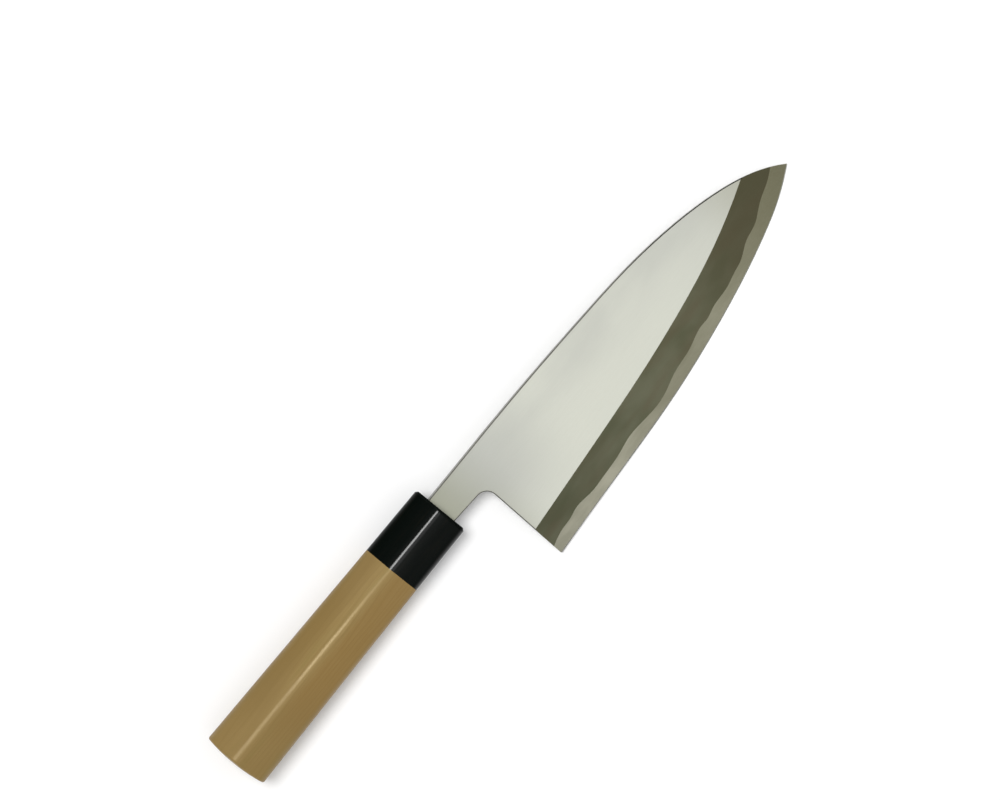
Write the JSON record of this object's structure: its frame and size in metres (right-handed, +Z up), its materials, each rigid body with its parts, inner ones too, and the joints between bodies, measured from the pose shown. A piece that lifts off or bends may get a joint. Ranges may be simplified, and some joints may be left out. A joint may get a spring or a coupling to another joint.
{
  "type": "deba knife",
  "caption": "Right-handed single-bevel fish knife: thick laminated blade, black ferrule and a D-shaped wooden handle.",
  "frame": {"origin": "on the table that the knife lies on, under the middle of its box", "axes": "+X along the handle towards the tip, +Y towards the spine, +Z up, out of the bevelled side; the blade is tilted as the knife lies, on the ferrule and the edge"},
  "size_m": [0.3256, 0.0626, 0.0249],
  "materials": {
    "soft_iron": "satin flat side, dark hazy bevel",
    "hard_steel": "fine ground",
    "pale_wood": "fine straight grain, sanded and lightly sealed",
    "black_horn": "polished black",
    "bedding": "dark set filler"
  },
  "bodies": {
    "root": {"blade_iron": "soft_iron", "edge_steel": "hard_steel", "handle": "pale_wood", "ferrule": "black_horn", "tang_bedding": "bedding"}
  },
  "joints": []
}
